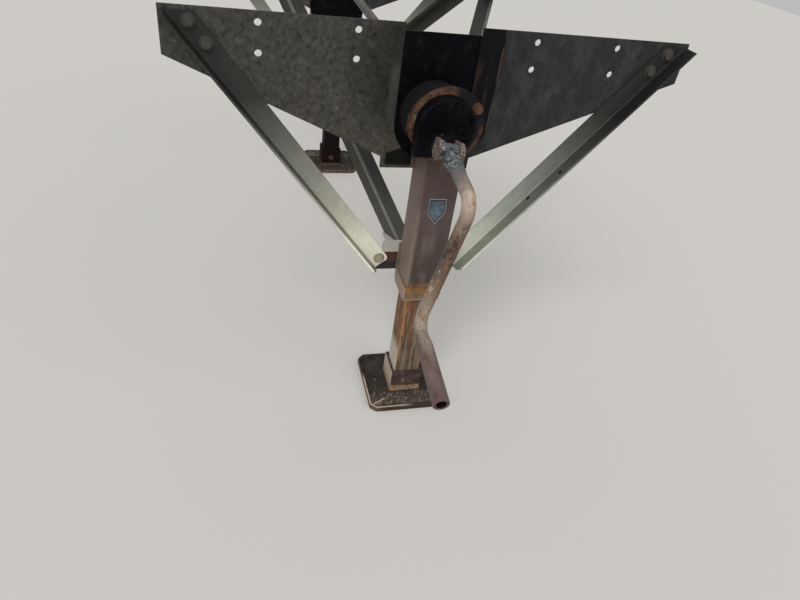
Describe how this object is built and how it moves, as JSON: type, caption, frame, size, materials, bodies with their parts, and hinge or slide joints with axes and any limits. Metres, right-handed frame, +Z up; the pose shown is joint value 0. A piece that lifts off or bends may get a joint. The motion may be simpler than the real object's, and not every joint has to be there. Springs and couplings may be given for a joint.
{
  "type": "semi-trailer landing gear",
  "caption": "Semi-trailer landing gear: telescoping legs with dished shoes, tapered wing plates, channel and angle braces, a cross shaft and a folding bent-pipe crank.",
  "frame": {"origin": "centre of the bolt pattern on the inboard face of the road-side (left) wing plate", "axes": "+X rearwards, +Y from the road-side leg inboard to the far leg, +Z up"},
  "size_m": [1.4, 2.5218, 1.19],
  "materials": {
    "oxide_paint": "worn red-brown primer",
    "rusty_steel": "rust over old paint",
    "rusty_casting": "orange rust",
    "galvanised": "dull zinc",
    "dark_zinc": "dull dark zinc",
    "black_paint": "satin black",
    "shaft_steel": "dull steel",
    "crank_steel": "rusty pipe"
  },
  "bodies": {
    "frame": {"outer_tube_left": "oxide_paint", "collar_left": "rusty_casting", "wing_plate_left": "dark_zinc", "backing_plate_left": "black_paint", "gear_housing_left": "rusty_casting", "gear_cover_left": "black_paint", "lower_bracket_left": "oxide_paint", "brace_shelf_left": "galvanised", "rear_brace_left": "galvanised", "front_brace_left": "galvanised", "rear_inner_brace_left": "dark_zinc", "front_inner_brace_left": "dark_zinc", "outer_tube_right": "oxide_paint", "collar_right": "rusty_casting", "wing_plate_right": "dark_zinc", "backing_plate_right": "black_paint", "gear_housing_right": "rusty_casting", "gear_cover_right": "black_paint", "lower_bracket_right": "oxide_paint", "brace_shelf_right": "galvanised", "rear_brace_right": "galvanised", "front_brace_right": "galvanised", "rear_inner_brace_right": "dark_zinc", "front_inner_brace_right": "dark_zinc", "rear_gusset": "dark_zinc", "front_gusset": "dark_zinc"},
    "left_leg": {"inner_tube_left": "rusty_steel", "shoe_left": "rusty_steel", "shoe_pin_left": "rusty_steel"},
    "right_leg": {"inner_tube_right": "rusty_steel", "shoe_right": "rusty_steel", "shoe_pin_right": "rusty_steel"},
    "cross_drive": {"output_stub_left": "shaft_steel", "output_stub_right": "shaft_steel", "coupling_left": "shaft_steel", "coupling_right": "shaft_steel", "cross_shaft": "shaft_steel"},
    "crank_drive": {"input_shaft": "shaft_steel", "crank_yoke": "rusty_casting", "yoke_pin": "shaft_steel"},
    "crank": {"crank_handle": "crank_steel", "crank_grip": "crank_steel"}
  },
  "joints": [
    {"name": "left_leg_slide", "type": "slide", "parent": "frame", "child": "left_leg", "axis": [0, 0, -1], "range_m": [-0.28, 0.152]},
    {"name": "right_leg_slide", "type": "slide", "parent": "frame", "child": "right_leg", "axis": [0, 0, -1], "range_m": [-0.28, 0.152]},
    {"name": "crank_turn", "type": "hinge", "parent": "frame", "child": "crank_drive", "pos_m": [-0.043, -0.2, -0.17], "axis": [0, -1, 0], "continuous": true},
    {"name": "cross_shaft_spin", "type": "hinge", "parent": "frame", "child": "cross_drive", "pos_m": [0, 0.8, -0.15], "axis": [0, -1, 0], "continuous": true},
    {"name": "crank_fold", "type": "hinge", "parent": "crank_drive", "child": "crank", "pos_m": [-0.043, -0.24, -0.17], "axis": [-0.9903, 0, 0.1392], "range_deg": [0, 95]}
  ],
  "couplings": [
    {"joint": "right_leg_slide", "follows": "left_leg_slide", "ratio": 1},
    {"joint": "cross_shaft_spin", "follows": "crank_turn", "ratio": -1}
  ]
}
